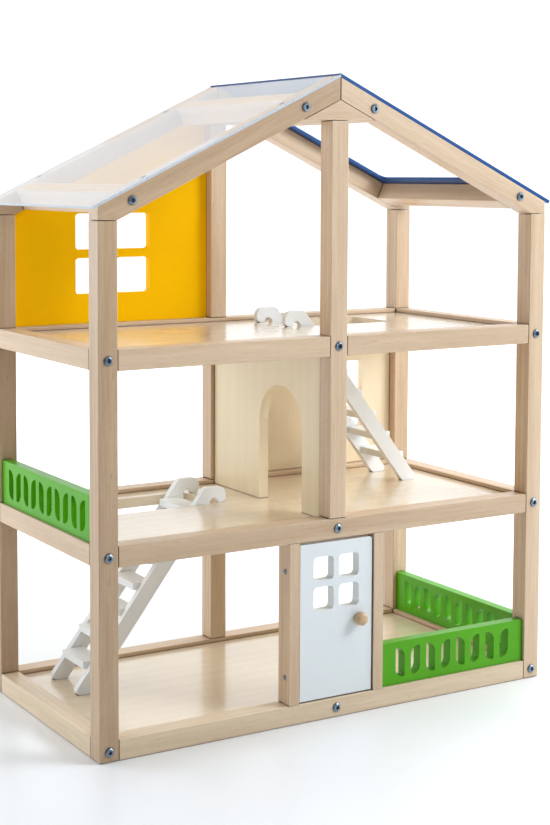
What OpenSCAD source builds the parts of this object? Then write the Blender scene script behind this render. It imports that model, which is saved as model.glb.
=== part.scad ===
// Open-sided wooden dollhouse: three storeys in a bolted frame of square timber.
// Origin: bottom centre of the whole house. +X right along the front, +Y to the back.

/* [Frame] */
// width over the corner posts
frame_w = 584; // [576:2:620]
// depth over the corner posts
frame_d = 280; // [276:2:310]
// side of the square frame timber
post = 22; // [22:1:24]
// height from one floor to the next
storey = 201; // [198:1:210]
// height of the corner posts above the attic rails
knee_h = 130; // [126:1:150]

/* [Roof] */
// roof pitch in degrees
roof_pitch = 25; // [22:1:28]
// how far the roof skins run past the rafter ends
eave_lap = 6; // [4:1:12]
// thickness of the clear sheet
sheet_t = 2.5; // [2:0.5:4]
// thickness of the blue board
skin_t = 4; // [3:0.5:5]
// height of the gusset under the ridge
gusset_h = 22; // [20:1:26]
// how far the blue board reaches over its frame opening
board_lap = 10; // [6:1:12]

/* [Boards] */
// thickness of the floor panels
floor_t = 12; // [12:1:14]
// thickness of the back walls
wall_t = 10; // [8:1:10]
// thickness of the dividing wall
divider_t = 12; // [10:1:14]
// length of each stair hole
hole_l = 135; // [132:1:140]
// radius of the round arch in the dividing wall
arch_r = 45; // [36:1:48]

/* [Door] */
// clear width of the doorway
door_gap_w = 99; // [97:1:104]
// width of each door jamb
jamb_w = 13; // [13:1:16]
// thickness of the door leaf
door_t = 12; // [12:0.5:13]
// diameter of the door knob
knob_d = 15; // [13:1:18]

/* [Railings] */
// height of the railings
rail_h = 49.5; // [46:0.5:56]
// thickness of the railings
rail_t = 12; // [10:1:13]
// width of one leaf-shaped slot
slot_w = 12.8; // [11.5:0.1:13]
// height of one leaf-shaped slot
slot_h = 34; // [32:1:36]

/* [Stairs] */
// outside width of a staircase
stair_w = 71; // [66:1:71]
// thickness of a stair side
side_t = 8; // [7:1:9]
// depth of a stair side, square to its slope
side_d = 18.5; // [17:0.5:19]
// thickness of a tread
tread_t = 8; // [6:1:9]

/* [Hardware] */
// diameter of the frame bolts
bolt_d = 6; // [5:0.5:6]
// diameter of the bolt heads
bolt_head_d = 9.2; // [9:0.2:11]
// diameter of the wooden dowels
dowel_d = 5; // [4:0.5:5]

/* [Hidden] */
$fn = 48;
fit = 0.1;                                  // radial room round bolts, nuts and pins
mid_x = frame_w / 2;
knob_l = 13;                                // how far the knob stands off the door
door_y = 2;                                 // setback of the door's face
head_h = 2;                                 // height of a bolt head
mid_y = (frame_d + head_h - knob_l + door_y) / 2;
levels = [0, storey, 2 * storey];
floor_lift = (post - floor_t) / 2;          // panels sit centred in the rails
floor_top = floor_lift + floor_t;
post_top = 2 * storey + post + knee_h;
rise = tan(roof_pitch);
rafter_v = post / cos(roof_pitch);          // rafter height measured upright
eave_z = post_top - post * rise + rafter_v; // top of the rafter at its outer end
apex_z = eave_z + mid_x * rise;
gusset_z = apex_z - rafter_v - gusset_h;
gusset_x = mid_x - gusset_h / rise;
slope_l = mid_x / cos(roof_pitch);
eave_t = 26.5;                              // eave beam, measured up the slope
ridge_t = 256.5 + slope_l - 322.2;          // ridge beam, measured up the slope
skin_screws = [64, ridge_t - 9];
room_y0 = post;
room_y1 = frame_d - post;
wall_y = frame_d - wall_t;

hole_y0 = 156;
hole_y1 = 231;
first_hole_x1 = 226;
attic_hole_x0 = 342.5;
stair_slope = 52;
stair_rise = storey;
toe_z = 5;                                  // where the upper edge would meet the foot
hook_l = 195;
hook_h = 18.5;
hook_set = 178;                           // stair foot to the edge of the hole
tread_pitch = 27.2;
tread_z = 35;
tenon_l = 5;                                // tread tenons into the stair sides
left_stair_y = 158;
right_stair_y = 159;

jamb_x0 = mid_x - door_gap_w / 2 - jamb_w;
jamb_x1 = mid_x + door_gap_w / 2;
door_x0 = jamb_x0 + jamb_w + 2;
door_x1 = jamb_x1 - 1.5;
door_z0 = post + 1.5;
door_z1 = storey - 3.5;
hinge_r = 1.6;
pin_r = 0.8;
pin_x = jamb_x0 + jamb_w + hinge_r;
pin_y = door_y + door_t + hinge_r + fit;
hinge_h = 22;
hinge_zs = [52, 169.5];
leaf_t = 0.7;
knob_x = jamb_x1 - 20.5;
knob_z = 108;

rail_set = 4;                               // setback of the railings from the rail's face
slot_r = 11;                                // the two long corners of a slot
slot_ease = 2.5;                            // the two short corners
nut_d = 10;
nut_l = 10;
nut_y = 32;
bolt_l = 38;
screw_d = 3;
dowel_l = 22;

// frame bolts seen from the front: [x, z, kind]; kind is the way the nut lies
BOLTS = concat(
    [for (z = levels) [post / 2, z + post / 2, "side"]],
    [for (z = levels) [frame_w - post / 2, z + post / 2, "side"]],
    [for (z = levels) [mid_x, z + post / 2, "panel"]],
    [for (m = [0, 1], t = [eave_t + post / 2, ridge_t + post / 2]) [
        m * frame_w + (1 - 2 * m) * (t * cos(roof_pitch) + post / 2 * sin(roof_pitch)),
        eave_z + t * sin(roof_pitch) - post / 2 * cos(roof_pitch),
        m == 0 ? "left" : "right"]]);

// dowels: [centre, axis]
rail_pin_z = post - 4.5;
FRAME_DOWELS = concat(
    [for (z = levels, y = [post / 2, frame_d - post / 2], x = [post + 2, frame_w - post - 2])
        [[x, y, z + rail_pin_z], 0]],
    [for (s = [-1, 1]) [[mid_x + s * (post / 2 + 3), post / 2, levels[2] + rail_pin_z], 0]],
    [for (x = [post / 2, frame_w - post / 2], y = [post / 2, frame_d - post / 2])
        [[x, y, post_top], 2]],
    [for (z = [storey + post + 5, gusset_z]) [[mid_x, post / 2, z], 2]],
    [for (z = [post + 5, storey - 5, storey + post + 5, 2 * storey - 5, 2 * storey + post + 5,
        gusset_z]) [[mid_x, frame_d - post / 2, z], 2]],
    [for (x = [jamb_x0 + jamb_w / 2, jamb_x1 + jamb_w / 2], z = [post, storey])
        [[x, post / 2, z], 2]]);
PANEL_DOWELS = concat(
    [for (z = levels, x = [post, frame_w - post], y = [70, 210]) [[x, y, z + post / 2], 0]],
    [for (z = levels, x = [150, frame_w - 150], y = [room_y0, room_y1])
        [[x, y, z + post / 2], 1]]);
WALL_DOWELS = concat(
    [for (x = [90, 220]) [[x, wall_y + wall_t / 2, 2 * storey + post], 2]],
    [for (x = [380, 500], z = [storey + post, 2 * storey]) [[x, wall_y + wall_t / 2, z], 2]],
    [for (y = [room_y0, room_y1], z = [260, 360]) [[mid_x, y, z], 1]]);
RAILING_DOWELS = concat(
    [for (y = [60, 220]) [[rail_set + rail_t / 2, y, storey + post], 2]],
    [for (y = [60, 220]) [[frame_w - rail_set - rail_t / 2, y, post], 2]],
    [for (x = [390, 530]) [[x, rail_set + rail_t / 2, post], 2]]);
DOWELS = concat(FRAME_DOWELS, PANEL_DOWELS, WALL_DOWELS, RAILING_DOWELS);

pine = [0.86, 0.75, 0.60];
ply = [0.91, 0.82, 0.68];
white = [0.90, 0.92, 0.93];
orange = [1.0, 0.72, 0.0];
green = [0.37, 0.66, 0.18];
blue = [0.20, 0.40, 0.72];
clear = [0.86, 0.89, 0.92, 0.45];
zinc = [0.66, 0.71, 0.76];

// ---- placing -------------------------------------------------------------

// everything is drawn from the front left corner of the frame
module place() {
    translate([-mid_x, -mid_y, 0])
        children();
}

module box(lo, hi) {
    translate(lo)
        cube(hi - lo);
}

// a flat outline in X and Z, extruded from y0 to y1
module upright(y0, y1) {
    translate([0, y1, 0])
        rotate([90, 0, 0])
            linear_extrude(y1 - y0)
                children();
}

// the left roof plane: X runs up the slope, Z points out of the roof
module on_left_roof() {
    translate([0, 0, eave_z])
        rotate([0, -roof_pitch, 0])
            children();
}

module flip_x() {
    translate([frame_w, 0, 0])
        mirror([1, 0, 0])
            children();
}

module flip_y() {
    translate([0, frame_d, 0])
        mirror([0, 1, 0])
            children();
}

module rounded(w, h, r) {
    translate([r, 0])
        square([w - 2 * r, h]);
    translate([0, r])
        square([w, h - 2 * r]);
    for (x = [r, w - r], y = [r, h - r])
        translate([x, y])
            circle(r);
}

// ---- fasteners -----------------------------------------------------------

module dowel_at(d, grow) {
    turn = d[1] == 0 ? [0, 90, 0] : d[1] == 1 ? [90, 0, 0] : [0, 0, 0];
    translate(d[0])
        rotate(turn)
            cylinder(h = dowel_l + 2 * grow, r = dowel_d / 2 + grow, center = true);
}

// one bolt along +Y from the front face
module bolt_at(b, grow) {
    translate([b[0], 0, b[1]])
        rotate([-90, 0, 0])
            translate([0, 0, -grow])
                cylinder(h = bolt_l + 2 * grow, r = bolt_d / 2 + grow);
}

module bolt_head(b) {
    translate([b[0], 0, b[1]])
        rotate([90, 0, 0])
            difference() {
                union() {
                    cylinder(h = 1.2, r = bolt_head_d / 2);
                    translate([0, 0, 1.2])
                        cylinder(h = head_h - 1.2, r1 = bolt_head_d / 2, r2 = bolt_head_d / 2 - 1.2);
                }
                translate([0, 0, head_h - 1.5])
                    cylinder(h = 1.6, r = 2.4, $fn = 6);
            }
}

// a barrel nut round the bolt, lying the way its timber needs
module nut_at(b, grow) {
    r = nut_d / 2 + grow;
    l = nut_l + 2 * grow;
    if (b[2] == "side") {
        inner = b[0] < mid_x ? post : frame_w - post;
        dir = b[0] < mid_x ? -1 : 1;
        translate([inner + dir * nut_l * 0.7, nut_y, b[1]])
            rotate([0, 90, 0])
                cylinder(h = nut_l * 1.4 + 2 * grow, r = r, center = true);
    }
    if (b[2] == "panel")
        translate([b[0], nut_y, b[1] - floor_t / 2 - grow])
            cylinder(h = l, r = r);
    if (b[2] == "left" || b[2] == "right") {
        lean = b[2] == "left" ? -roof_pitch : roof_pitch;
        translate([b[0], nut_y, b[1]])
            rotate([0, lean, 0])
                translate([0, 0, -5])
                    cylinder(h = post / 2 + 4.5 + 10 * grow, r = r);
    }
}

function reaches(lo, hi, c, h) =
    c[0] + h[0] > lo[0] && c[0] - h[0] < hi[0] &&
    c[1] + h[1] > lo[1] && c[1] - h[1] < hi[1] &&
    c[2] + h[2] > lo[2] && c[2] - h[2] < hi[2];

function dowel_half(a) =
    [a == 0 ? dowel_l / 2 : 2, a == 1 ? dowel_l / 2 : 2, a == 2 ? dowel_l / 2 : 2];

// the bores of every dowel, bolt and nut that reaches into the box lo to hi
module bores(lo, hi) {
    for (d = DOWELS)
        if (reaches(lo, hi, d[0], dowel_half(d[1])))
            dowel_at(d, 0);
    for (b = BOLTS) {
        if (reaches(lo, hi, [b[0], bolt_l / 2, b[1]], [2, bolt_l / 2, 2]))
            bolt_at(b, fit);
        if (reaches(lo, hi, [b[0], nut_y, b[1]], [3, 3, 3]))
            nut_at(b, fit);
        if (reaches(lo, hi, [b[0], frame_d - bolt_l / 2, b[1]], [2, bolt_l / 2, 2]))
            flip_y()
                bolt_at(b, fit);
        if (reaches(lo, hi, [b[0], frame_d - nut_y, b[1]], [3, 3, 3]))
            flip_y()
                nut_at(b, fit);
    }
}

// a straight timber or board with its bores
module timber(lo, hi) {
    place()
        difference() {
            box(lo, hi);
            bores(lo, hi);
        }
}

// ---- posts ---------------------------------------------------------------

module corner_post(x, y) {
    color(pine)
        timber([x, y, 0], [x + post, y + post, post_top]);
}

module front_left_post() {
    corner_post(0, 0);
}

module front_right_post() {
    corner_post(frame_w - post, 0);
}

module rear_left_post() {
    corner_post(0, frame_d - post);
}

module rear_right_post() {
    corner_post(frame_w - post, frame_d - post);
}

module centre_post(y, z0, z1) {
    color(pine)
        timber([mid_x - post / 2, y, z0], [mid_x + post / 2, y + post, z1]);
}

module front_centre_post() {
    centre_post(0, storey + post, gusset_z);
}

module rear_ground_post() {
    centre_post(frame_d - post, post, storey);
}

module rear_first_post() {
    centre_post(frame_d - post, storey + post, 2 * storey);
}

module rear_attic_post() {
    centre_post(frame_d - post, 2 * storey + post, gusset_z);
}

// ---- rails and floors ----------------------------------------------------

module cross_rail(x0, x1, y, z) {
    color(pine)
        timber([x0, y, z], [x1, y + post, z + post]);
}

module side_rail(x, z) {
    color(pine)
        timber([x, room_y0, z], [x + post, room_y1, z + post]);
}

module base_front_rail() {
    cross_rail(post, frame_w - post, 0, levels[0]);
}

module base_rear_rail() {
    cross_rail(post, frame_w - post, frame_d - post, levels[0]);
}

module base_left_rail() {
    side_rail(0, levels[0]);
}

module base_right_rail() {
    side_rail(frame_w - post, levels[0]);
}

module first_front_rail() {
    cross_rail(post, frame_w - post, 0, levels[1]);
}

module first_rear_rail() {
    cross_rail(post, frame_w - post, frame_d - post, levels[1]);
}

module first_left_rail() {
    side_rail(0, levels[1]);
}

module first_right_rail() {
    side_rail(frame_w - post, levels[1]);
}

module attic_front_rail_left() {
    cross_rail(post, mid_x - post / 2, 0, levels[2]);
}

module attic_front_rail_right() {
    cross_rail(mid_x + post / 2, frame_w - post, 0, levels[2]);
}

module attic_rear_rail() {
    cross_rail(post, frame_w - post, frame_d - post, levels[2]);
}

module attic_left_rail() {
    side_rail(0, levels[2]);
}

module attic_right_rail() {
    side_rail(frame_w - post, levels[2]);
}

module floor_panel(z) {
    timber([post, room_y0, z + floor_lift], [frame_w - post, room_y1, z + floor_top]);
}

module stair_hole(x0, z) {
    place()
        translate([x0, hole_y0, z + floor_lift - 1])
            linear_extrude(floor_t + 2)
                rounded(hole_l, hole_y1 - hole_y0, 6);
}

module ground_floor() {
    color(ply)
        floor_panel(levels[0]);
}

module first_floor() {
    color(ply)
        difference() {
            floor_panel(levels[1]);
            stair_hole(first_hole_x1 - hole_l, levels[1]);
        }
}

module attic_floor() {
    color(ply)
        difference() {
            floor_panel(levels[2]);
            stair_hole(attic_hole_x0, levels[2]);
        }
}

// ---- roof ----------------------------------------------------------------

module skin_screw_at(t, y, skin, grow) {
    on_left_roof()
        translate([t, y, skin])
            rotate([180, 0, 0]) {
                cylinder(h = 3, r1 = 3.2 + grow, r2 = screw_d / 2 + grow);
                cylinder(h = 18 + grow, r = screw_d / 2 + grow);
            }
}

module skin_screws_left(skin, grow) {
    for (t = skin_screws, y = [post / 2, frame_d - post / 2])
        skin_screw_at(t, y, skin, grow);
}

module left_rafter(y, skin) {
    difference() {
        upright(y, y + post)
            polygon([[0, post_top], [post, post_top], [mid_x, apex_z - rafter_v],
                [mid_x, apex_z], [0, eave_z]]);
        bores([0, y, post_top], [mid_x, y + post, apex_z]);
        skin_screws_left(skin, fit);
    }
}

module front_left_rafter() {
    color(pine)
        place()
            left_rafter(0, sheet_t);
}

module front_right_rafter() {
    color(pine)
        place()
            flip_x()
                left_rafter(0, skin_t);
}

module rear_left_rafter() {
    color(pine)
        place()
            left_rafter(frame_d - post, sheet_t);
}

module rear_right_rafter() {
    color(pine)
        place()
            flip_x()
                left_rafter(frame_d - post, skin_t);
}

module gusset(y) {
    color(pine)
        place()
            difference() {
                upright(y, y + post)
                    polygon([[gusset_x, gusset_z], [frame_w - gusset_x, gusset_z],
                        [mid_x, apex_z - rafter_v]]);
                bores([gusset_x, y, gusset_z], [frame_w - gusset_x, y + post, gusset_z + 5]);
            }
}

module front_gusset() {
    gusset(0);
}

module rear_gusset() {
    gusset(frame_d - post);
}

// a beam between the rafters, t up the slope
module left_beam(t) {
    difference() {
        on_left_roof()
            box([t, room_y0, -post], [t + post, room_y1, 0]);
        bores([t * cos(roof_pitch), 0, 0], [(t + post) * cos(roof_pitch) + 9, frame_d, apex_z]);
    }
}

module left_eave_beam() {
    color(pine)
        place()
            left_beam(eave_t);
}

module right_eave_beam() {
    color(pine)
        place()
            flip_x()
                left_beam(eave_t);
}

module left_ridge_beam() {
    color(pine)
        place()
            left_beam(ridge_t);
}

module right_ridge_beam() {
    color(pine)
        place()
            flip_x()
                left_beam(ridge_t);
}

module left_skin(skin) {
    drop = eave_lap * sin(roof_pitch);
    run = eave_lap * cos(roof_pitch);
    out_x = skin * sin(roof_pitch);
    out_z = skin * cos(roof_pitch);
    difference() {
        upright(0, frame_d)
            polygon([[-run, eave_z - drop], [mid_x, apex_z],
                [mid_x, apex_z + skin / cos(roof_pitch)],
                [-run - out_x, eave_z - drop + out_z]]);
        skin_screws_left(skin, fit);
    }
}

module clear_roof_sheet() {
    color(clear)
        place()
            left_skin(sheet_t);
}

module blue_roof_board() {
    t0 = eave_t + post + board_lap;
    t1 = ridge_t - board_lap;
    y0 = room_y0 + board_lap;
    y1 = room_y1 - board_lap;
    color(blue)
        place()
            flip_x()
                difference() {
                    left_skin(skin_t);
                    on_left_roof()
                        translate([t0, y0, -1])
                            linear_extrude(skin_t + 2)
                                rounded(t1 - t0, y1 - y0, 8);
                }
}

// ---- walls ---------------------------------------------------------------

// four rounded panes with bars between them, from their lower left corner
module panes(w, h, bar, r) {
    for (i = [0, 1], j = [0, 1])
        translate([i * (w + bar), j * (h + bar)])
            rounded(w, h, r);
}

module orange_wall() {
    z0 = 2 * storey + post;
    x1 = mid_x - post / 2;
    color(orange)
        place()
            difference() {
                upright(wall_y, frame_d)
                    polygon([[post, z0], [x1, z0], [x1, gusset_z], [gusset_x, gusset_z],
                        [post, post_top]]);
                upright(wall_y - 1, frame_d + 1)
                    translate([103.6, z0 + 34.7])
                        panes(44.1, 42.4, 10.2, 4);
                bores([post, wall_y, z0], [x1, frame_d, z0 + 20]);
            }
}

module first_back_wall() {
    z0 = storey + post;
    color(ply)
        difference() {
            timber([mid_x + post / 2, wall_y, z0], [frame_w - post, frame_d, 2 * storey]);
            place()
                upright(wall_y - 1, frame_d + 1)
                    translate([427.7, z0 + 47.3])
                        panes(41, 39.5, 8, 4);
        }
}

module arch_wall() {
    z0 = storey + floor_top;
    spring = z0 + 95;
    arch_y = 108;
    color(ply)
        difference() {
            timber([mid_x - divider_t / 2, room_y0, z0],
                [mid_x + divider_t / 2, room_y1, 2 * storey + floor_lift]);
            place() {
                box([mid_x - divider_t, arch_y - arch_r, z0 - 1],
                    [mid_x + divider_t, arch_y + arch_r, spring]);
                translate([mid_x, arch_y, spring])
                    rotate([0, 90, 0])
                        cylinder(h = 2 * divider_t, r = arch_r, center = true, $fn = 96);
            }
        }
}

// ---- doorway and door ----------------------------------------------------

module jamb_screw(z, grow) {
    translate([jamb_x0, 9, z])
        rotate([0, 90, 0])
            cylinder(h = jamb_w, r = screw_d / 2 + grow);
}

module left_jamb() {
    color(pine)
        difference() {
            timber([jamb_x0, 0, post], [jamb_x0 + jamb_w, post, storey]);
            place()
                for (z = hinge_zs)
                    jamb_screw(z, fit);
        }
}

module right_jamb() {
    color(pine)
        timber([jamb_x1, 0, post], [jamb_x1 + jamb_w, post, storey]);
}

module jamb_screws() {
    color(zinc)
        place()
            for (z = hinge_zs) {
                jamb_screw(z, 0);
                translate([jamb_x0, 9, z])
                    rotate([0, -90, 0])
                        difference() {
                            cylinder(h = 1.2, r1 = 2.9, r2 = 2.2);
                            translate([-1.6, -0.4, 0.5])
                                cube([3.2, 0.8, 1]);
                        }
            }
}

// one leaf with the knuckles at the heights in spans; x0 is the plate's near face
module hinge_leaf(x0, z, spans) {
    difference() {
        union() {
            box([x0, 3.5, z - hinge_h / 2], [x0 + leaf_t, door_y + door_t - 0.2, z + hinge_h / 2]);
            for (s = spans) {
                box([x0, 13, z + s[0]], [x0 + leaf_t, pin_y - 0.9, z + s[1]]);
                translate([pin_x, pin_y, z + s[0]])
                    cylinder(h = s[1] - s[0], r = hinge_r);
            }
        }
        translate([pin_x, pin_y, z - hinge_h])
            cylinder(h = 2 * hinge_h, r = pin_r + 0.05);
    }
}

module jamb_hinge_leaves() {
    color(zinc)
        place()
            for (z = hinge_zs)
                hinge_leaf(jamb_x0 + jamb_w, z, [[-3.5, 3.5]]);
}

module door_hinge_leaves() {
    color(zinc)
        place()
            for (z = hinge_zs)
                hinge_leaf(door_x0 - leaf_t, z, [[-hinge_h / 2, -3.8], [3.8, hinge_h / 2]]);
}

module hinge_pins() {
    color(zinc)
        place()
            for (z = hinge_zs)
                translate([pin_x, pin_y, z - hinge_h / 2 - 1]) {
                    cylinder(h = hinge_h + 1.2, r = pin_r);
                    translate([0, 0, hinge_h + 1.2])
                        cylinder(h = 0.8, r = 1.4);
                }
}

module door_panel() {
    pane_w = 26.6;
    bar = 7.4;
    cx = (door_x0 + door_x1) / 2;
    color(white)
        place()
            difference() {
                upright(door_y, door_y + door_t)
                    union() {
                        translate([door_x0, door_z0 + 8])
                            rounded(door_x1 - door_x0, door_z1 - door_z0 - 8, 4);
                        translate([door_x0, door_z0])
                            square([door_x1 - door_x0, 20]);
                        translate([door_x0, door_z1 - 20])
                            square([20, 20]);
                    }
                upright(door_y - 1, door_y + door_t + 1)
                    translate([cx - bar / 2 - pane_w, 122])
                        panes(pane_w, 26.5, 7, 5);
                translate([knob_x, door_y, knob_z])
                    rotate([-90, 0, 0])
                        cylinder(h = 8, r = 3);
            }
}

module door_knob() {
    r = knob_d / 2;
    color(pine)
        place()
            translate([knob_x, door_y + 8, knob_z])
                rotate([90, 0, 0])
                    rotate_extrude()
                        difference() {
                            union() {
                                square([3, 10]);
                                translate([0, 8])
                                    square([5, 4]);
                                translate([0, 11])
                                    square([r, knob_l - 3]);
                            }
                            difference() {
                                translate([r - 5, knob_l + 3])
                                    square([6, 6]);
                                translate([r - 5, knob_l + 3])
                                    circle(5);
                            }
                            difference() {
                                translate([r - 2, 10])
                                    square([3, 3]);
                                translate([r - 2, 13])
                                    circle(2);
                            }
                        }
}

// ---- railings ------------------------------------------------------------

// the piece taken off the upper left corner of a slot
module slot_corner(r) {
    difference() {
        translate([-1, slot_h - r])
            square([r + 1, r + 1]);
        translate([r, slot_h - r])
            circle(r);
    }
}

module slot_half() {
    slot_corner(slot_r);
    translate([slot_w, 0])
        mirror([1, 0])
            slot_corner(slot_ease);
}

// lean 0 rounds the lower left and upper right, lean 1 the other two corners
module leaf_slot(lean) {
    translate([slot_w / 2, 0])
        mirror([1 - lean, 0])
            translate([-slot_w / 2, 0])
                difference() {
                    square([slot_w, slot_h]);
                    slot_half();
                    translate([slot_w, slot_h])
                        rotate(180)
                            slot_half();
                }
}

// a railing from x = 0 to length, lying from y = 0 to rail_t
module railing(length, count, pitch) {
    first = (length - pitch * (count - 1)) / 2;
    upright(0, rail_t)
        difference() {
            square([length, rail_h]);
            for (i = [0 : count - 1])
                translate([first + i * pitch - slot_w / 2, (rail_h - slot_h) / 2])
                    leaf_slot(i % 2);
        }
}

module balcony_railing() {
    color(green)
        place()
            difference() {
                translate([rail_set, room_y1, storey + post])
                    rotate([0, 0, -90])
                        railing(room_y1 - room_y0, 10, 20.8);
                bores([0, room_y0, storey + post], [post, room_y1, storey + post + 20]);
            }
}

module porch_side_railing() {
    color(green)
        place()
            difference() {
                translate([frame_w - rail_set, room_y0, post])
                    rotate([0, 0, 90])
                        railing(room_y1 - room_y0, 10, 20.8);
                bores([frame_w - post, room_y0, post], [frame_w, room_y1, post + 20]);
            }
}

module porch_front_railing() {
    x0 = jamb_x1 + jamb_w;
    color(green)
        place()
            difference() {
                translate([x0, rail_set, post])
                    railing(frame_w - post - x0, 8, 21.75);
                bores([x0, 0, post], [frame_w - post, post, post + 20]);
            }
}

// ---- stairs --------------------------------------------------------------

// the piece to take off a corner: at p, between directions a0 and a0 + turn
module corner_cut(p, a0, turn, r) {
    reach = r / tan(turn / 2);
    centre = p + r / sin(turn / 2) * [cos(a0 + turn / 2), sin(a0 + turn / 2)];
    difference() {
        polygon([p - 0.5 * [cos(a0 + turn / 2), sin(a0 + turn / 2)],
            p + reach * [cos(a0), sin(a0)] + 0.5 * [sin(a0), -cos(a0)],
            centre,
            p + reach * [cos(a0 + turn), sin(a0 + turn)]
                + 0.5 * [-sin(a0 + turn), cos(a0 + turn)]]);
        translate(centre)
            circle(r);
    }
}

// the outline of a stair side: foot at the origin, hook over the next floor
module side_outline() {
    tilt = tan(stair_slope);
    drop = side_d / cos(stair_slope);
    top_z = stair_rise + hook_h;
    toe = [-toe_z / tilt, 0];
    heel = [(drop - toe_z) / tilt, 0];
    inner = [heel[0] + stair_rise / tilt, stair_rise];
    brow = [(top_z - toe_z) / tilt, top_z];
    difference() {
        polygon([toe, heel, inner, [hook_l, stair_rise], [hook_l, top_z], brow]);
        translate(inner + [2.5, 0])
            circle(6);
        corner_cut(toe, 0, stair_slope, 5);
        corner_cut(heel, stair_slope, 180 - stair_slope, 4);
        corner_cut(brow, 180 + stair_slope, 180 - stair_slope, 8);
        corner_cut([hook_l, top_z], 180, 90, 10);
        corner_cut([hook_l, stair_rise], 90, 90, 6);
    }
}

// seven treads, each with a tenon into both sides
module treads() {
    for (k = [0 : 6]) {
        z = tread_z + k * tread_pitch;
        x = (z - toe_z) / tan(stair_slope);
        box([x - 10.5, side_t, z - tread_t], [x + 15, stair_w - side_t, z]);
        box([x + 2, side_t - tenon_l, z - 6], [x + 13, stair_w - side_t + tenon_l, z - 2]);
    }
}

module stair_side(y) {
    difference() {
        upright(y, y + side_t)
            side_outline();
        treads();
    }
}

module at_left_stair() {
    color(white)
        place()
            translate([first_hole_x1 - hook_set, left_stair_y, levels[0] + floor_top])
                children();
}

module at_right_stair() {
    color(white)
        place()
            translate([attic_hole_x0 + hook_set, right_stair_y, levels[1] + floor_top])
                mirror([1, 0, 0])
                    children();
}

module left_stair_front_side() {
    at_left_stair()
        stair_side(0);
}

module left_stair_back_side() {
    at_left_stair()
        stair_side(stair_w - side_t);
}

module left_stair_treads() {
    at_left_stair()
        treads();
}

module right_stair_front_side() {
    at_right_stair()
        stair_side(0);
}

module right_stair_back_side() {
    at_right_stair()
        stair_side(stair_w - side_t);
}

module right_stair_treads() {
    at_right_stair()
        treads();
}

// ---- hardware ------------------------------------------------------------

module frame_bolts() {
    color(zinc)
        place()
            for (b = BOLTS) {
                bolt_at(b, 0);
                bolt_head(b);
                flip_y() {
                    bolt_at(b, 0);
                    bolt_head(b);
                }
            }
}

module barrel_nut(b) {
    difference() {
        nut_at(b, 0);
        bolt_at(b, 0.02);
    }
}

module barrel_nuts() {
    color(zinc)
        place()
            for (b = BOLTS) {
                barrel_nut(b);
                flip_y()
                    barrel_nut(b);
            }
}

module roof_screws() {
    color(zinc)
        place() {
            skin_screws_left(sheet_t, 0);
            flip_x()
                skin_screws_left(skin_t, 0);
        }
}

module dowels() {
    color(pine)
        place()
            for (d = DOWELS)
                dowel_at(d, 0);
}

front_left_post();
front_right_post();
front_centre_post();
rear_left_post();
rear_right_post();
rear_ground_post();
rear_first_post();
rear_attic_post();
base_front_rail();
base_rear_rail();
base_left_rail();
base_right_rail();
ground_floor();
first_front_rail();
first_rear_rail();
first_left_rail();
first_right_rail();
first_floor();
attic_front_rail_left();
attic_front_rail_right();
attic_rear_rail();
attic_left_rail();
attic_right_rail();
attic_floor();
front_left_rafter();
front_right_rafter();
rear_left_rafter();
rear_right_rafter();
front_gusset();
rear_gusset();
left_eave_beam();
right_eave_beam();
left_ridge_beam();
right_ridge_beam();
clear_roof_sheet();
blue_roof_board();
orange_wall();
first_back_wall();
arch_wall();
left_jamb();
right_jamb();
jamb_hinge_leaves();
hinge_pins();
jamb_screws();
door_panel();
door_hinge_leaves();
door_knob();
balcony_railing();
porch_front_railing();
porch_side_railing();
left_stair_front_side();
left_stair_back_side();
left_stair_treads();
right_stair_front_side();
right_stair_back_side();
right_stair_treads();
frame_bolts();
barrel_nuts();
roof_screws();
dowels();
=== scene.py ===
import math

import bmesh
import bpy
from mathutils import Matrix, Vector


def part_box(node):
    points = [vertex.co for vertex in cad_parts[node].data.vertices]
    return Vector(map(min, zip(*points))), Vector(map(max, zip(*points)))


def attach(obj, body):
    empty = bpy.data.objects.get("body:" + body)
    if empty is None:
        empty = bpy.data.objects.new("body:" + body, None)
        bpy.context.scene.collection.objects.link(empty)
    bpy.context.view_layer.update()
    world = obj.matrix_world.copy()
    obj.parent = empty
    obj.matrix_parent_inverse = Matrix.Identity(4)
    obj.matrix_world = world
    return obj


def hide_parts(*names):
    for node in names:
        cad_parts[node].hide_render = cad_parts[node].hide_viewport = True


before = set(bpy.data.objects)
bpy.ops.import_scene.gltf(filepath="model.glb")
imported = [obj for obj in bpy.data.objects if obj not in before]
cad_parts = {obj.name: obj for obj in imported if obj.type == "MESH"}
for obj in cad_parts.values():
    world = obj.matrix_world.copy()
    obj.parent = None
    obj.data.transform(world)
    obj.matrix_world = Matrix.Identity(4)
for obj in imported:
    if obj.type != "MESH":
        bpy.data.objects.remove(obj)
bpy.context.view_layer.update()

MM = 0.001
PITCH = math.radians(25)  # slope of the roof
SEGMENTS = 3              # steps across every rounded edge
WELD_GAP = 0.01 * MM      # points closer than this become one


def new_object(name, data):
    """An object for some data, linked into the scene."""
    obj = bpy.data.objects.new(name, data)
    bpy.context.scene.collection.objects.link(obj)
    return obj


# ---- small node helpers ---------------------------------------------------

PIECE_SHIFT = 7.0         # how far apart two pieces can lie in a texture, in metres
FLAT, ROUNDED = 0.995, 0.8     # bevelled normal against true normal
OPEN, ENCLOSED = 0.95, 0.58    # share of open space over a point

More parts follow.
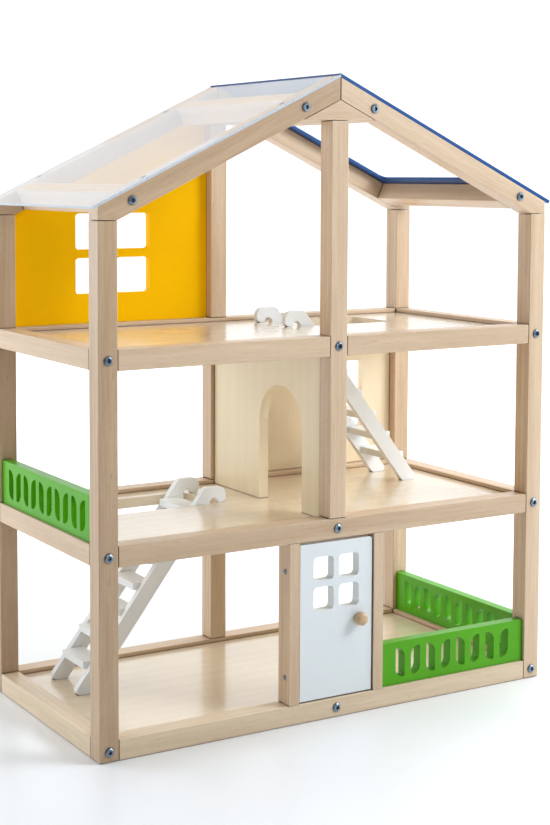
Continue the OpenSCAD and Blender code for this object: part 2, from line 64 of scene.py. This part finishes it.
class Shader:
    """A Principled material and short ways to add nodes to it."""

    def __init__(self, name):
        self.mat = bpy.data.materials.new(name)
        self.mat.use_nodes = True
        self.tree = self.mat.node_tree
        self.bsdf = self.tree.nodes["Principled BSDF"]

    def add(self, kind, links=None, **values):
        node = self.tree.nodes.new("ShaderNode" + kind)
        for key, value in values.items():
            setattr(node, key, value)
        for socket, value in (links or {}).items():
            self.put(node.inputs[socket], value)
        return node

    def put(self, socket, value):
        if isinstance(value, bpy.types.NodeSocket):
            self.tree.links.new(value, socket)
        else:
            socket.default_value = value

    def set(self, **values):
        for key, value in values.items():
            self.put(self.bsdf.inputs[key.replace("_", " ")], value)

    def ramp(self, fac, stops):
        node = self.add("ValToRGB", {"Fac": fac})
        while len(node.color_ramp.elements) < len(stops):
            node.color_ramp.elements.new(0.5)
        for element, (pos, value) in zip(node.color_ramp.elements, stops):
            element.position = pos
            element.color = value if len(value) == 4 else (*value, 1)
        return node.outputs["Color"]

    def math(self, op, a, b):
        return self.add("Math", {0: a, 1: b}, operation=op).outputs[0]

    def mix(self, fac, a, b, blend="MIX"):
        node = self.add("Mix", {0: fac, 6: a, 7: b}, data_type="RGBA", blend_type=blend)
        return node.outputs[2]

    def noise(self, vector, scale, detail=4.0, rough=0.5, distortion=0.0):
        node = self.add("TexNoise", {"Vector": vector, "Scale": scale, "Detail": detail,
                                     "Roughness": rough, "Distortion": distortion})
        return node.outputs["Fac"]

    def spread(self, fac, lo, hi, to_lo=0.0, to_hi=1.0):
        node = self.add("MapRange", {0: fac, 1: lo, 2: hi, 3: to_lo, 4: to_hi})
        return node.outputs[0]

    def stretch(self, vector, x=1, y=1, z=1):
        """Scaled coordinates: a small factor draws the pattern out along its axis."""
        return self.add("Mapping", {"Vector": vector, "Scale": (x, y, z)}).outputs[0]

    def place(self, turn=(0, 0, 0)):
        """Object coordinates, turned, and moved apart from piece to piece."""
        coord = self.add("TexCoord").outputs["Object"]
        seed = self.add("ObjectInfo").outputs["Random"]
        apart = self.math("MULTIPLY", seed, PIECE_SHIFT)
        moved = self.add("VectorMath", {0: coord, 1: apart}, operation="ADD").outputs[0]
        turned = self.add("Mapping", {"Vector": moved, "Rotation": turn}).outputs[0]
        return turned, seed

    def edge(self, radius=0.0016):
        """1 along rounded edges, 0 on the flats."""
        soft = self.add("Bevel", {"Radius": radius}, samples=4).outputs[0]
        flat = self.add("NewGeometry").outputs["True Normal"]
        dot = self.add("VectorMath", {0: soft, 1: flat},
                       operation="DOT_PRODUCT").outputs["Value"]
        return self.spread(dot, FLAT, ROUNDED)

    def shade_in_hollows(self, reach=0.002):
        """Mask of painted shade: 1 deep in joints and corners, 0 in the open."""
        near = self.add("AmbientOcclusion", {"Distance": reach}, samples=6).outputs["AO"]
        return self.spread(near, OPEN, ENCLOSED)

    def bump(self, height, strength, distance):
        node = self.add("Bump", {"Height": height, "Strength": strength, "Distance": distance})
        self.put(self.bsdf.inputs["Normal"], node.outputs[0])


def rgb(r, g, b):
    """A linear colour from the usual 0 to 255 values."""
    def lin(c):
        c /= 255
        return c / 12.92 if c <= 0.04045 else ((c + 0.055) / 1.055) ** 2.4
    return (lin(r), lin(g), lin(b), 1)


# turns that bring a piece's grain onto the texture's X axis
ALONG = {"X": (0, 0, 0), "Y": (0, 0, -math.pi / 2), "Z": (0, math.pi / 2, 0),
         "L": (0, PITCH, 0), "R": (0, -PITCH, 0)}


def wood(name, along, light, dark, gloss=0.42, coat=0.12, flame=0.0, contrast=1.0):
    """Lacquered pale wood: soft bands, fine streaks, short dark flecks and open pores."""
    s = Shader(name)
    v, seed = s.place(ALONG[along])
    long_v = s.stretch(v, x=0.05)
    fine_v = s.stretch(v, x=0.03)
    fleck_v = s.stretch(v, x=0.14)
    band_scale, ring_scale = (18, 14) if flame else (70, 40)
    bands = s.noise(long_v, band_scale, 3, 0.55, 0.4 + 2 * flame)
    rings = s.add("TexWave", {"Vector": long_v, "Scale": ring_scale,
                              "Distortion": 3 + 8 * flame, "Detail": 3.0,
                              "Detail Scale": 1.4}, bands_direction="Y")
    streaks = s.noise(long_v, 420, 5, 0.65)
    pores = s.noise(fine_v, 1900, 3, 0.6)
    flecks = s.noise(fleck_v, 640, 2, 0.5)
    tone = s.math("ADD", s.math("MULTIPLY", bands, 0.5),
                  s.math("MULTIPLY", rings.outputs["Fac"], 0.12 + 0.10 * flame))
    tone = s.math("ADD", tone, s.math("MULTIPLY", streaks, 0.42))
    middle = tuple((a + b) / 2 for a, b in zip(light, dark))
    spread = 0.26 / contrast
    base = s.ramp(tone, [(max(0.0, 0.5 - spread), dark), (0.52, middle),
                         (min(1.0, 0.54 + spread), light)])
    dark_fleck = tuple(c * 0.60 for c in dark[:3]) + (1,)
    fleck = s.math("MULTIPLY", s.spread(flecks, 0.64, 0.74), 0.30 * contrast)
    base = s.mix(fleck, base, dark_fleck)
    pore = s.spread(pores, 0.58, 0.72)
    base = s.mix(s.math("MULTIPLY", pore, 0.16 * contrast), base, dark_fleck)
    lift = s.spread(seed, 0, 1, 0.95, 1.04)
    tint = s.add("CombineColor", {0: lift, 1: lift, 2: s.math("MULTIPLY", lift, 0.99)}).outputs[0]
    base = s.mix(1.0, base, tint, "MULTIPLY")
    base = s.mix(s.math("MULTIPLY", s.edge(0.0012), 0.15), base, light)
    # painted shade: joints and corners darkened towards a dark brown by the occlusion mask
    hollow_shade = (dark[0] * 0.22, dark[1] * 0.13, dark[2] * 0.10, 1)
    s.set(Base_Color=s.mix(s.math("MULTIPLY", s.shade_in_hollows(), 0.85), base, hollow_shade))
    patch = s.noise(v, 22, 2)
    rough = s.math("ADD", gloss - 0.05, s.math("MULTIPLY", patch, 0.08))
    s.set(Roughness=s.math("ADD", rough, s.math("MULTIPLY", pore, 0.08)))
    s.set(IOR=1.5, Coat_Weight=coat, Coat_Roughness=0.14)
    height = s.math("SUBTRACT", s.math("MULTIPLY", streaks, 0.5), s.math("MULTIPLY", pore, 0.6))
    s.bump(height, 0.2 * contrast, 0.0002)
    return s.mat


def paint(name, colour, deep, gloss, coat, worn_to=None, grain="X", *, shine):
    """Brushed paint on wood: faint grain under it, orange peel, paler worn edges."""
    s = Shader(name)
    v = s.place(ALONG[grain])[0]
    long_v = s.stretch(v, x=0.06)
    grain_f = s.noise(long_v, 320, 4, 0.6)
    cloud = s.noise(v, 14, 3)
    fac = s.math("ADD", s.math("MULTIPLY", cloud, 0.7), s.math("MULTIPLY", grain_f, 0.3))
    base = s.ramp(fac, [(0.30, deep), (0.70, colour)])
    worn = worn_to or tuple(min(1, c * 1.2 + 0.02) for c in colour[:3]) + (1,)
    base = s.mix(s.math("MULTIPLY", s.edge(), 0.25), base, worn)
    # painted shade: corners and joints darkened towards a dark copy of the paint by the occlusion
    # mask
    hollow_shade = tuple(c * 0.35 for c in deep[:3]) + (1,)
    s.set(Base_Color=s.mix(s.math("MULTIPLY", s.shade_in_hollows(), 0.25), base, hollow_shade))
    peel = s.noise(v, 900, 2)
    smudge = s.noise(v, 30, 4, 0.6)
    s.set(Roughness=s.math("ADD", gloss - 0.05, s.math("MULTIPLY", smudge, 0.12)))
    s.set(IOR=1.48, Specular_IOR_Level=shine, Coat_Weight=coat, Coat_Roughness=0.09)
    height = s.math("ADD", s.math("MULTIPLY", grain_f, 0.8), s.math("MULTIPLY", peel, 0.35))
    s.bump(height, 0.22, 0.00012)
    return s.mat


def zinc(name, light, dark, rough=0.33):
    """Zinc plate: mottled tone, fine turning marks, brighter rubbed edges."""
    s = Shader(name)
    v = s.place()[0]
    mottle = s.noise(v, 900, 4, 0.6)
    base = s.ramp(mottle, [(0.35, dark), (0.65, light)])
    base = s.mix(s.math("MULTIPLY", s.edge(0.0005), 0.5), base, (0.85, 0.88, 0.92, 1))
    # painted shade: hex sockets and crevices darkened nearly to black by the occlusion mask
    socket_shade = (0.01, 0.012, 0.015, 1)
    s.set(Base_Color=s.mix(s.math("MULTIPLY", s.shade_in_hollows(0.0025), 0.9), base, socket_shade))
    s.set(Metallic=1.0, Roughness=s.math("ADD", rough - 0.08, s.math("MULTIPLY", mottle, 0.18)))
    scratch = s.noise(s.stretch(v, z=12), 700, 2)
    s.bump(s.math("ADD", scratch, mottle), 0.15, 0.00008)
    return s.mat


def clear_sheet(name):
    """Clear acrylic with a faint cool tint, a trace of haze and fine rubbing marks."""
    s = Shader(name)
    v = s.place()[0]
    cloud = s.noise(v, 6, 3)
    s.set(Base_Color=s.ramp(cloud, [(0.3, rgb(226, 234, 244)), (0.7, rgb(236, 242, 250))]))
    s.set(Transmission_Weight=1.0, IOR=1.49)
    rub = s.noise(s.stretch(v, x=0.2), 60, 5, 0.7)
    s.set(Roughness=s.spread(rub, 0.3, 0.7, 0.0, 0.02))
    s.bump(s.noise(v, 9, 2), 0.02, 0.0002)
    return s.mat


# ---- materials ------------------------------------------------------------

# light and dark grain colours of the timber: mid for most pieces, deep as painted shade on the left
# posts and rafters, pale as painted light on the two base rails
PINE = {"mid": (rgb(224, 198, 169), rgb(193, 161, 128)),
        "deep": (rgb(205, 177, 146), rgb(172, 140, 108)),
        "pale": (rgb(234, 213, 184), rgb(211, 185, 152))}
SHADED_PIECES = ("front_left_post", "rear_left_post", "front_left_rafter", "rear_left_rafter")
LIT_PIECES = ("base_front_rail", "base_left_rail")
# floor birch: partly its own pale colour, partly painted reflection of the white studio that makes
# it paler and greyer
BIRCH_LIGHT = rgb(234, 218, 194)
BIRCH_DARK = rgb(219, 198, 168)
# wall birch: the same birch made paler than the floor, painted light for the strongly lit walls
WALL_LIGHT = rgb(248, 231, 200)
WALL_DARK = rgb(238, 216, 180)
made = {}


def pine(along, tone):
    key = "pine_" + along + "_" + tone
    if key not in made:
        light, dark = PINE[tone]
        made[key] = wood(key, along, light, dark, contrast=1.25)
    return made[key]


made["floor"] = wood("birch_floor", "X", BIRCH_LIGHT, BIRCH_DARK, 0.24, 0.7, 0.4, 0.6)
made["wall"] = wood("birch_wall", "Z", WALL_LIGHT, WALL_DARK, 0.40, 0.2, 0.5, 0.55)
made["knob"] = wood("beech_knob", "Y", rgb(222, 190, 150), rgb(190, 152, 110), 0.36, 0.3)
# orange: its own colour with the green share raised a little, painted light for the brightly lit
# attic wall
made["orange"] = paint("orange_gloss", rgb(255, 196, 0), rgb(255, 190, 0), 0.4, 0.0, shine=0.05)
made["green"] = paint("green_satin", rgb(90, 172, 18), rgb(80, 160, 14), 0.32, 0.1, shine=0.2)
made["blue"] = paint("blue_satin", rgb(32, 86, 150), rgb(28, 76, 138),
                     0.30, 0.1, grain="R", shine=0.3)
made["white"] = paint("white_satin", rgb(247, 248, 248), rgb(243, 245, 246), 0.34, 0.2,
                      rgb(252, 252, 252), grain="Z", shine=0.35)
made["door"] = paint("door_satin", rgb(230, 234, 234), rgb(227, 231, 232), 0.36, 0.12,
                     rgb(246, 249, 250), grain="Z", shine=0.35)
made["clear"] = clear_sheet("clear_acrylic")
made["zinc"] = zinc("zinc_plate", rgb(150, 168, 184), rgb(104, 124, 142))
made["hinge"] = zinc("hinge_plate", rgb(206, 208, 208), rgb(168, 172, 174), 0.28)


def finish_of(node):
    """The material of one CAD node, with the grain running along the piece."""
    fixed = {"orange_wall": "orange", "clear_roof_sheet": "clear", "blue_roof_board": "blue",
             "door_panel": "door", "door_knob": "knob", "first_back_wall": "wall",
             "arch_wall": "wall", "jamb_hinge_leaves": "hinge", "door_hinge_leaves": "hinge",
             "hinge_pins": "hinge", "frame_bolts": "zinc", "barrel_nuts": "zinc",
             "roof_screws": "zinc", "jamb_screws": "zinc"}
    if node in fixed:
        return made[fixed[node]]
    if node.endswith("_floor"):
        return made["floor"]
    if "railing" in node:
        return made["green"]
    if "_stair_" in node:
        return made["white"]
    # painted shade and light: shaded pieces get the darker pine copy, lit pieces the paler one
    tone = "deep" if node in SHADED_PIECES else "pale" if node in LIT_PIECES else "mid"
    if "rafter" in node:
        return pine("L" if "left" in node else "R", tone)
    lo, hi = (Vector(c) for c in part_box(node))
    size = hi - lo
    if "gusset" in node or node == "dowels":
        return pine("X", tone)
    return pine("XYZ"[max(range(3), key=lambda i: size[i])], tone)


# ---- CAD nodes: eased edges and better materials ---------------------------

EASE = {"door_panel": 1.6, "door_knob": 0.0, "clear_roof_sheet": 0.5, "blue_roof_board": 0.7,
        "frame_bolts": 0.25, "barrel_nuts": 0.0, "roof_screws": 0.0, "jamb_screws": 0.0,
        "hinge_pins": 0.0, "jamb_hinge_leaves": 0.0, "door_hinge_leaves": 0.0, "dowels": 0.0,
        "ground_floor": 0.6, "first_floor": 0.6, "attic_floor": 0.6,
        "balcony_railing": 1.6, "porch_front_railing": 1.6, "porch_side_railing": 1.6}
USUAL_EASE = 0.8               # rounding in millimetres where EASE says nothing
SHARP = math.radians(38)       # only edges sharper than this are rounded

for name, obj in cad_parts.items():
    for slot in obj.material_slots:
        slot.material = finish_of(name)
    width = EASE.get(name, USUAL_EASE)
    if width > 0:
        weld = obj.modifiers.new("weld", "WELD")
        weld.merge_threshold = WELD_GAP
        ease = obj.modifiers.new("ease", "BEVEL")
        ease.width = width * MM
        ease.segments = SEGMENTS
        ease.limit_method = "ANGLE"
        ease.angle_limit = SHARP
        ease.harden_normals = True


# ---- planed timber: one sound stick for each bored one ----------------------

STICKS = ("post", "rail", "rail_left", "rail_right", "beam", "rafter", "gusset")
ARRIS = 0.9 * MM               # width of a planed soft edge
JOINT_GAP = 0.35 * MM          # hairline left at each end of a piece


def stick(node, source):
    """A node's outer shape without its hidden bores, with soft edges and a hairline at each end."""
    bm = bmesh.new()
    for vert in source.data.vertices:
        bm.verts.new(vert.co)
    bmesh.ops.remove_doubles(bm, verts=bm.verts[:], dist=WELD_GAP)
    bmesh.ops.convex_hull(bm, input=bm.verts[:])
    loose = [v for v in bm.verts if not v.link_faces]
    bmesh.ops.delete(bm, geom=loose, context="VERTS")
    bmesh.ops.dissolve_limit(bm, angle_limit=math.radians(1), verts=bm.verts[:],
                             edges=bm.edges[:])
    lo, hi = (Vector(c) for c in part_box(node))
    axis = max(range(3), key=lambda i: hi[i] - lo[i])
    middle = (lo[axis] + hi[axis]) / 2
    for vert in bm.verts:
        vert.co[axis] += JOINT_GAP if vert.co[axis] < middle else -JOINT_GAP
    bmesh.ops.bevel(bm, geom=bm.edges[:], offset=ARRIS, segments=SEGMENTS, profile=0.5,
                    affect="EDGES")
    bmesh.ops.recalc_face_normals(bm, faces=bm.faces[:])
    mesh = bpy.data.meshes.new(node + "_stick")
    bm.to_mesh(mesh)
    bm.free()
    for face in mesh.polygons:
        face.use_smooth = True
    mesh.materials.append(finish_of(node))
    obj = new_object(node + "_stick", mesh)
    obj.modifiers.new("normals", "WEIGHTED_NORMAL")
    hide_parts(node)
    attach(obj, "house")


for name, obj in list(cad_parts.items()):
    if name.endswith(STICKS):
        stick(name, obj)


# ---- the clear sheet, with its sawn edges ----------------------------------

def sawn_edge(name):
    """The frosted cut edge of acrylic, with fine saw lines."""
    s = Shader(name)
    v = s.place()[0]
    lines = s.noise(s.stretch(v, z=0.1), 900, 2)
    s.set(Base_Color=s.ramp(lines, [(0.3, rgb(176, 186, 198)), (0.7, rgb(202, 210, 219))]))
    s.set(Roughness=s.spread(lines, 0.3, 0.7, 0.3, 0.5))
    s.bump(lines, 0.2, 0.0001)
    return s.mat


SLOPE_NORMAL = Vector((-math.sin(PITCH), 0, math.cos(PITCH)))
sheet_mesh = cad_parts["clear_roof_sheet"].data.copy()
sheet_mesh.materials.clear()
sheet_mesh.materials.append(made["clear"])
sheet_mesh.materials.append(sawn_edge("acrylic_edge"))
for face in sheet_mesh.polygons:
    face.material_index = 0 if abs(face.normal.dot(SLOPE_NORMAL)) > 0.9 else 1
sheet = new_object("clear_sheet", sheet_mesh)
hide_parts("clear_roof_sheet")
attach(sheet, "house")
sheet.visible_shadow = False   # clear acrylic lets the light through


# ---- floor, backdrop, lights and camera ------------------------------------

GLOW = 0.85                    # emission of the backdrop far behind the house
GLOW_FROM, GLOW_TO = 0.3, 1.5  # where that emission starts and is full, in metres
SWEEP_FRONT = -6.0
SWEEP_BACK = 4.0
SWEEP_CURVE = 1.5
SWEEP_TOP = 6.0
SWEEP_SIDE = 8.0
SWEEP_STEPS = 12
SWEEP_TURN = math.radians(-29)


def sweep():
    """A pale floor that curves up into a backdrop."""
    bm = bmesh.new()
    profile = [(SWEEP_FRONT, 0.0), (SWEEP_BACK, 0.0)]
    for i in range(1, SWEEP_STEPS + 1):
        a = math.radians(90 * i / SWEEP_STEPS)
        profile.append((SWEEP_BACK + SWEEP_CURVE * math.sin(a),
                        SWEEP_CURVE - SWEEP_CURVE * math.cos(a)))
    profile.append((SWEEP_BACK + SWEEP_CURVE, SWEEP_TOP))
    rows = [[bm.verts.new((x, y, z)) for y, z in profile] for x in (-SWEEP_SIDE, SWEEP_SIDE)]
    for i in range(len(profile) - 1):
        bm.faces.new((rows[0][i], rows[1][i], rows[1][i + 1], rows[0][i + 1]))
    mesh = bpy.data.meshes.new("sweep")
    bm.to_mesh(mesh)
    bm.free()
    for face in mesh.polygons:
        face.use_smooth = True
    obj = new_object("sweep", mesh)
    s = Shader("paper_sweep")
    v = s.place()[0]
    s.set(Base_Color=s.ramp(s.noise(v, 3, 2), [(0.3, (0.89, 0.895, 0.905, 1)),
                                               (0.7, (0.91, 0.915, 0.925, 1))]))
    s.set(Roughness=0.28, IOR=1.4)
    coord = s.add("TexCoord").outputs["Object"]
    away = s.add("SeparateXYZ", {0: coord}).outputs["Y"]
    s.set(Emission_Color=(1, 1, 1, 1),
          Emission_Strength=s.spread(away, GLOW_FROM, GLOW_TO, 0.0, GLOW))
    mesh.materials.append(s.mat)
    obj.rotation_euler = (0, 0, SWEEP_TURN)


def area(name, place, target, size, power):
    """A rectangular light that looks at a target and isn't seen itself."""
    data = bpy.data.lights.new(name, "AREA")
    data.shape = "RECTANGLE"
    data.size, data.size_y = size
    data.energy = power
    data.color = COOL
    obj = new_object(name, data)
    obj.location = place
    aim = Vector(target) - Vector(place)
    obj.rotation_euler = aim.to_track_quat("-Z", "Y").to_euler()
    obj.visible_camera = False
    return data


COOL = (0.90, 0.955, 1.0)
ATTIC_SPREAD = math.radians(60)
# name, place, target, size in metres, watts
LIGHTS = (
    ("key", (1.1, -0.95, 1.2), (0.1, 0, 0.3), (0.8, 0.8), 23.5),
    ("left_card", (-1.0, 0.25, 0.45), (0.0, 0.0, 0.35), (0.9, 0.9), 4.2),
    ("right_card", (1.1, 0.0, 0.5), (0, 0, 0.35), (0.9, 0.9), 10),
    ("back_left", (-1.6, 1.5, 0.9), (0, 0.1, 0.3), (1.4, 1.4), 16),
    ("top", (0.3, 0.6, 3.0), (0, 0.1, 0.0), (2.6, 2.6), 48),
    ("front", (-0.5, -2.4, 0.9), (0, 0, 0.35), (1.2, 1.0), 5.5),
    ("attic_fill", (-0.42, -1.0, 0.92), (-0.18, 0.12, 0.46), (0.3, 0.3), 0.3),
)
SKY = (0.93, 0.96, 1.0, 1)
SKY_STRENGTH = 0.05

sweep()
world = bpy.data.worlds.new("studio")
bpy.context.scene.world = world
world.use_nodes = True
background = world.node_tree.nodes["Background"]
background.inputs["Color"].default_value = SKY
background.inputs["Strength"].default_value = SKY_STRENGTH
lamps = {light[0]: area(*light) for light in LIGHTS}
lamps["attic_fill"].spread = ATTIC_SPREAD

bpy.context.scene.view_settings.view_transform = "Standard"

LENS = 68.828                        # focal length in millimetres
SENSOR = 36
SHIFT = (0.11164, -0.14891)          # the picture is a crop of a wider one
EYE = (-0.9835, -1.5433, 0.6)
LOOK_DOWN = 4.19                     # degrees below level
LOOK_TURN = -29.25                   # degrees round from straight ahead

camera = bpy.data.cameras.new("camera")
camera.sensor_fit = "AUTO"
camera.sensor_width = SENSOR
camera.lens = LENS
camera.shift_x, camera.shift_y = SHIFT
eye = new_object("camera", camera)
eye.location = EYE
eye.rotation_euler = (math.radians(90 - LOOK_DOWN), 0, math.radians(LOOK_TURN))
bpy.context.scene.camera = eye
